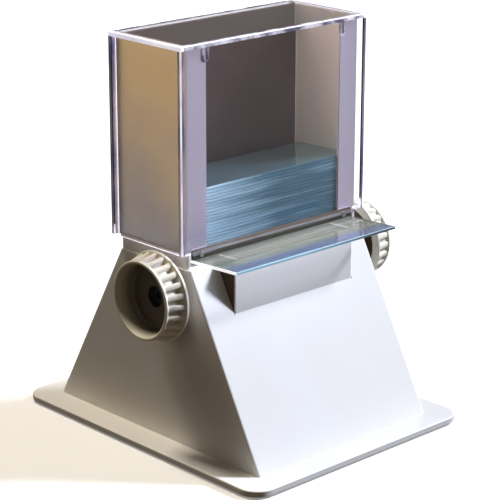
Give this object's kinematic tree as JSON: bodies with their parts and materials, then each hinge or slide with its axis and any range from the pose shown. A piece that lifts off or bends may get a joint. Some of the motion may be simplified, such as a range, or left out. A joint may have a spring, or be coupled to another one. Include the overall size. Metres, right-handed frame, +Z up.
{
  "type": "microscope slide dispenser",
  "caption": "Tapering moulded base with a folded steel slide magazine under a clear lift-off cover, two ribbed knobs on one roller shaft and a landing for the dispensed slide.",
  "frame": {"origin": "on the surface the rubber feet stand on, under the centre of the foot plate", "axes": "+Z up; the slides leave towards -Y, the front; the knob shaft lies along X"},
  "size_m": [0.1076, 0.1228, 0.1417],
  "materials": {
    "housing_abs": "fine satin moulded ABS",
    "knob_abs": "satin moulded ABS",
    "clear_san": "clear moulded SAN, polished",
    "magazine_steel": "folded stainless sheet, fine brushed",
    "slide_glass": "soda-lime glass with ground edges",
    "shaft_steel": "ground steel bar",
    "screw_steel": "plated steel",
    "acetal": "white acetal",
    "tyre_rubber": "soft black rubber",
    "black_rubber": "black rubber"
  },
  "bodies": {
    "base": {"base_housing": "housing_abs", "rubber_feet": "black_rubber", "bottom_plate": "housing_abs", "bottom_screws": "screw_steel", "deck_plate": "magazine_steel", "deck_screws": "screw_steel", "slide_magazine": "magazine_steel", "magazine_screws": "screw_steel", "gate_bar": "magazine_steel", "gate_screws": "screw_steel", "slide_stack": "slide_glass", "left_bush": "acetal", "right_bush": "acetal"},
    "knob_shaft": {"drive_shaft": "shaft_steel", "retaining_rings": "screw_steel", "set_screws": "screw_steel", "thrust_washers": "acetal", "knob_screws": "screw_steel", "left_roller_hub": "acetal", "right_roller_hub": "acetal", "left_roller_tyre": "tyre_rubber", "right_roller_tyre": "tyre_rubber", "left_knob": "knob_abs", "right_knob": "knob_abs"},
    "fed_slide": {"dispensed_slide": "slide_glass"},
    "cover": {"clear_cover": "clear_san"}
  },
  "joints": [
    {"name": "knob_turn", "type": "hinge", "parent": "base", "child": "knob_shaft", "pos_m": [0, -0.0082, 0.0563], "axis": [1, 0, 0], "range_deg": [-119.3, 0]},
    {"name": "slide_feed", "type": "slide", "parent": "base", "child": "fed_slide", "axis": [0, -0.999, 0.0454], "range_m": [-0.0235, 0]},
    {"name": "cover_lift", "type": "slide", "parent": "base", "child": "cover", "axis": [0, 0, 1], "range_m": [0, 0.08]}
  ],
  "couplings": [
    {"joint": "slide_feed", "follows": "knob_turn", "m_per_rad": 0.011285}
  ]
}
